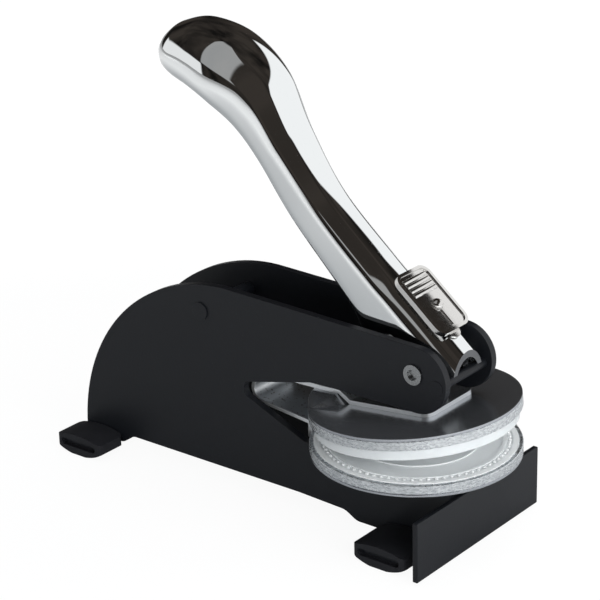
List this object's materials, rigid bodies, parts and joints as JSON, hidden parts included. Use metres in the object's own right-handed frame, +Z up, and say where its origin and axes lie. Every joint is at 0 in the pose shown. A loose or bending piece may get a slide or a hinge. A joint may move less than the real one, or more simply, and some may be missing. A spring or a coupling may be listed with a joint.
{
  "type": "seal embosser",
  "caption": "Desk seal embosser: two-plate steel frame, chromed palm lever with cam and lock slide, and a spring clip that holds a pair of round dies",
  "frame": {"origin": "Centre of the footprint, on the desk surface under the rubber feet", "axes": "X runs from the round rear hump to the dies at the front, Y across the frame to the right side plate, Z up"},
  "size_m": [0.1425, 0.0574, 0.1319],
  "materials": {
    "black_steel": "satin black enamel with a fine texture",
    "rubber": "plain black rubber",
    "bright_steel": "bright turned steel",
    "chrome": "mirror chrome plating",
    "brass": "plain bearing brass",
    "spring_steel": "satin spring steel sheet with sheared edges",
    "aluminium": "milled aluminium",
    "die_plastic": "white, slightly translucent engraved plastic"
  },
  "bodies": {
    "frame": {"side_plate_left": "black_steel", "side_plate_right": "black_steel", "bed_block": "black_steel", "front_apron": "black_steel", "front_strap": "black_steel", "rear_strap": "black_steel", "foot_front_left": "rubber", "foot_front_right": "rubber", "foot_rear_left": "rubber", "foot_rear_right": "rubber", "rear_cross_pin": "black_steel", "stop_bar": "black_steel", "pivot_axle": "bright_steel", "axle_spacer_left": "bright_steel", "axle_spacer_right": "bright_steel", "clip_lower_arm": "spring_steel", "lower_disc_plate": "chrome", "lower_ring": "aluminium", "lower_die": "die_plastic", "lower_rivets": "bright_steel"},
    "press_lever": {"lever": "chrome", "cam": "bright_steel", "cam_rivet": "bright_steel", "pivot_bushing": "brass"},
    "lock_slide": {"lock_plate": "chrome", "lock_stud": "chrome", "lock_guide": "bright_steel", "lock_keeper": "bright_steel"},
    "upper_clip": {"clip_upper_arm": "spring_steel", "upper_disc_plate": "chrome", "upper_ring": "aluminium", "upper_die": "die_plastic", "upper_rivets": "bright_steel"}
  },
  "joints": [
    {"name": "lever_press", "type": "hinge", "parent": "frame", "child": "press_lever", "pos_m": [0.05, 0, 0.0505], "axis": [0, -1, 0], "range_deg": [0, 30]},
    {"name": "clip_close", "type": "hinge", "parent": "frame", "child": "upper_clip", "pos_m": [-0.0035, 0, 0.031], "axis": [0, 1, 0], "range_deg": [0, 6], "stiffness_Nm_per_rad": 3, "springref_deg": -11.46},
    {"name": "lock_travel", "type": "slide", "parent": "press_lever", "child": "lock_slide", "axis": [0.7716, 0, -0.6361], "range_m": [0, 0.006]}
  ],
  "couplings": [
    {"joint": "clip_close", "follows": "lever_press", "ratio": 0.2}
  ]
}
